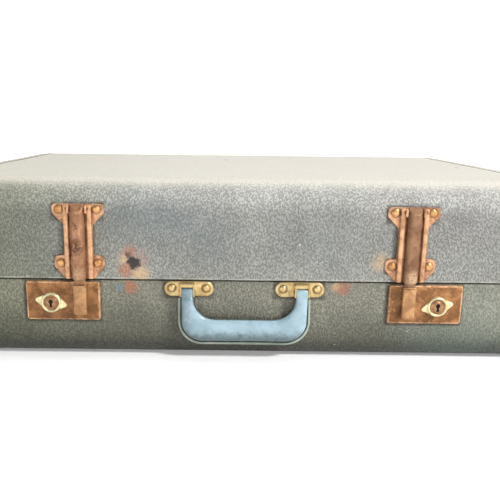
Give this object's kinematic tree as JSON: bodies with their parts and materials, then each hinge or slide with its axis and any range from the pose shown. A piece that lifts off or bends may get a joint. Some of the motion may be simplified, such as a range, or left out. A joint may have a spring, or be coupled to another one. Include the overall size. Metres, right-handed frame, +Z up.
{
  "type": "hard-shell suitcase",
  "caption": "Old hard-shell suitcase lying flat and shut, with hinged lid, front carrying handle and sliding-button hasp latches.",
  "frame": {"origin": "middle of the whole object's length and depth, on the surface that the case lies on", "axes": "+X across the width, towards the right-hand latch as seen from the handle; -Y out of the front, where the handle and latches are; +Z up through the lid"},
  "size_m": [0.66, 0.4408, 0.175],
  "materials": {
    "grained_cover": "pebble-grained covering cloth, semi-matt, worn",
    "lining_cloth": "plain woven cotton, matt",
    "rim_board": "sealed board, matt",
    "coppered_steel": "copper-washed sheet steel, tarnished and rusty",
    "brass_plate": "brass-plated, dulled",
    "plain_steel": "plain steel, dulled",
    "handle_front_plastic": "glossy moulding, yellowed and scuffed",
    "handle_shell_plastic": "glossy moulding, paler"
  },
  "bodies": {
    "base": {"base_panel": "grained_cover", "base_end_left": "grained_cover", "base_end_right": "grained_cover", "base_rim": "rim_board", "base_lining": "lining_cloth", "hinge_base_leaf_left": "plain_steel", "hinge_base_leaf_right": "plain_steel", "hinge_pin_left": "plain_steel", "hinge_pin_right": "plain_steel", "base_foot_left": "plain_steel", "base_foot_right": "plain_steel", "lock_plate_left": "coppered_steel", "lock_plate_right": "coppered_steel", "lock_case_left": "plain_steel", "lock_case_right": "plain_steel", "slide_spring_left": "plain_steel", "slide_spring_right": "plain_steel", "handle_bracket_left": "brass_plate", "handle_bracket_right": "brass_plate", "handle_pin_left": "plain_steel", "handle_pin_right": "plain_steel", "bracket_rivet_left_1": "brass_plate", "bracket_rivet_left_2": "brass_plate", "bracket_rivet_right_1": "brass_plate", "bracket_rivet_right_2": "brass_plate"},
    "lid": {"lid_panel": "grained_cover", "lid_end_left": "grained_cover", "lid_end_right": "grained_cover", "lid_rim": "rim_board", "lid_lining": "lining_cloth", "hinge_lid_leaf_left": "plain_steel", "hinge_lid_leaf_right": "plain_steel", "lid_foot_left": "plain_steel", "lid_foot_right": "plain_steel", "latch_frame_left": "coppered_steel", "latch_frame_right": "coppered_steel", "hasp_pin_left": "plain_steel", "hasp_pin_right": "plain_steel", "latch_rivet_left_1": "brass_plate", "latch_rivet_left_2": "brass_plate", "latch_rivet_left_3": "brass_plate", "latch_rivet_left_4": "brass_plate", "latch_rivet_right_1": "brass_plate", "latch_rivet_right_2": "brass_plate", "latch_rivet_right_3": "brass_plate", "latch_rivet_right_4": "brass_plate"},
    "handle": {"handle_grip": "handle_front_plastic", "handle_back": "handle_shell_plastic"},
    "hasp_left": {"hasp_left": "coppered_steel"},
    "slide_left": {"slide_button_left": "brass_plate"},
    "key_left": {"key_plug_left": "brass_plate"},
    "hasp_right": {"hasp_right": "coppered_steel"},
    "slide_right": {"slide_button_right": "brass_plate"},
    "key_right": {"key_plug_right": "brass_plate"}
  },
  "joints": [
    {"name": "lid_hinge", "type": "hinge", "parent": "base", "child": "lid", "pos_m": [0, 0.2156, 0.0787], "axis": [-1, 0, 0], "range_deg": [0, 100]},
    {"name": "handle_swing", "type": "hinge", "parent": "base", "child": "handle", "pos_m": [0, -0.2143, 0.0699], "axis": [-1, 0, 0], "range_deg": [0, 95]},
    {"name": "hasp_left_swing", "type": "hinge", "parent": "lid", "child": "hasp_left", "pos_m": [-0.157, -0.2133, 0.1478], "axis": [-1, 0, 0], "range_deg": [0, 100]},
    {"name": "slide_left_travel", "type": "slide", "parent": "base", "child": "slide_left", "axis": [-1, 0, 0], "range_m": [0, 0.005], "stiffness_N_per_m": 200, "springref_m": -0.002, "deforming": ["slide_spring_left"]},
    {"name": "key_left_turn", "type": "hinge", "parent": "slide_left", "child": "key_left", "pos_m": [-0.185, -0.2078, 0.0566], "axis": [0, -1, 0], "range_deg": [0, 90]},
    {"name": "hasp_right_swing", "type": "hinge", "parent": "lid", "child": "hasp_right", "pos_m": [0.157, -0.2133, 0.1478], "axis": [-1, 0, 0], "range_deg": [0, 100]},
    {"name": "slide_right_travel", "type": "slide", "parent": "base", "child": "slide_right", "axis": [1, 0, 0], "range_m": [0, 0.005], "stiffness_N_per_m": 200, "springref_m": -0.002, "deforming": ["slide_spring_right"]},
    {"name": "key_right_turn", "type": "hinge", "parent": "slide_right", "child": "key_right", "pos_m": [0.185, -0.2078, 0.0566], "axis": [0, 1, 0], "range_deg": [0, 90]}
  ]
}
